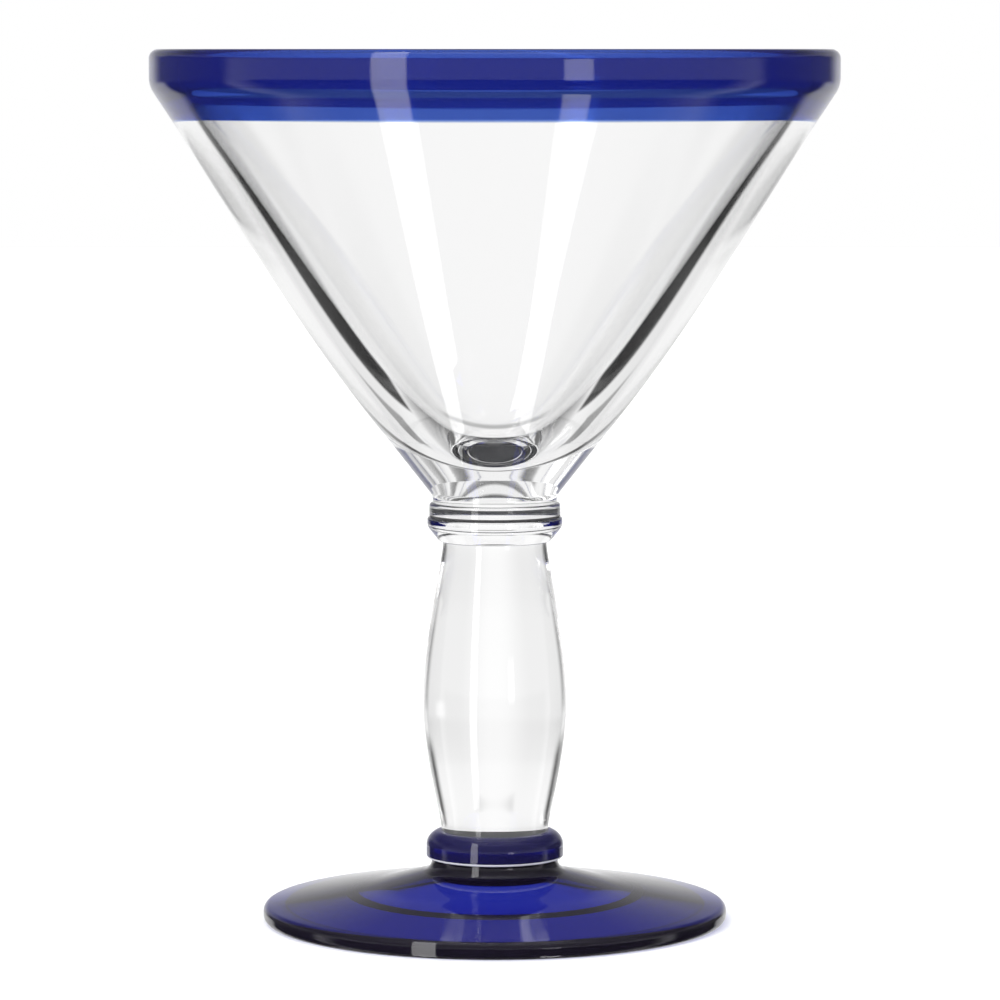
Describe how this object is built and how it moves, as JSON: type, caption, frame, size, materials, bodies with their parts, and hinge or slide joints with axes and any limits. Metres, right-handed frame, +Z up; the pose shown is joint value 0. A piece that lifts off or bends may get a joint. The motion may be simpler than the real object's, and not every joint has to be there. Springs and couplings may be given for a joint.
{
  "type": "margarita glass",
  "caption": "Stemmed cocktail glass with a wide conical bowl, coloured lip band, baluster stem between collars and a broad coloured foot.",
  "frame": {"origin": "centre of the base, on the plane that the foot rests on", "axes": "+Z up along the axis of the stem and bowl; the glass is round, so X and Y are free"},
  "size_m": [0.1224, 0.1224, 0.156],
  "materials": {
    "clear_bowl": "fire polished clear glass",
    "clear_stem": "fire polished clear glass, solid",
    "cobalt_rim": "fire polished cobalt blue glass",
    "cobalt_foot": "fire polished cobalt blue glass, pressed"
  },
  "bodies": {
    "root": {"foot": "cobalt_foot", "bead_collar": "cobalt_foot", "stem": "clear_stem", "stem_collar": "clear_stem", "bowl_collar": "clear_stem", "bowl_seat": "clear_stem", "bowl": "clear_bowl", "rim_band": "cobalt_rim"}
  },
  "joints": []
}
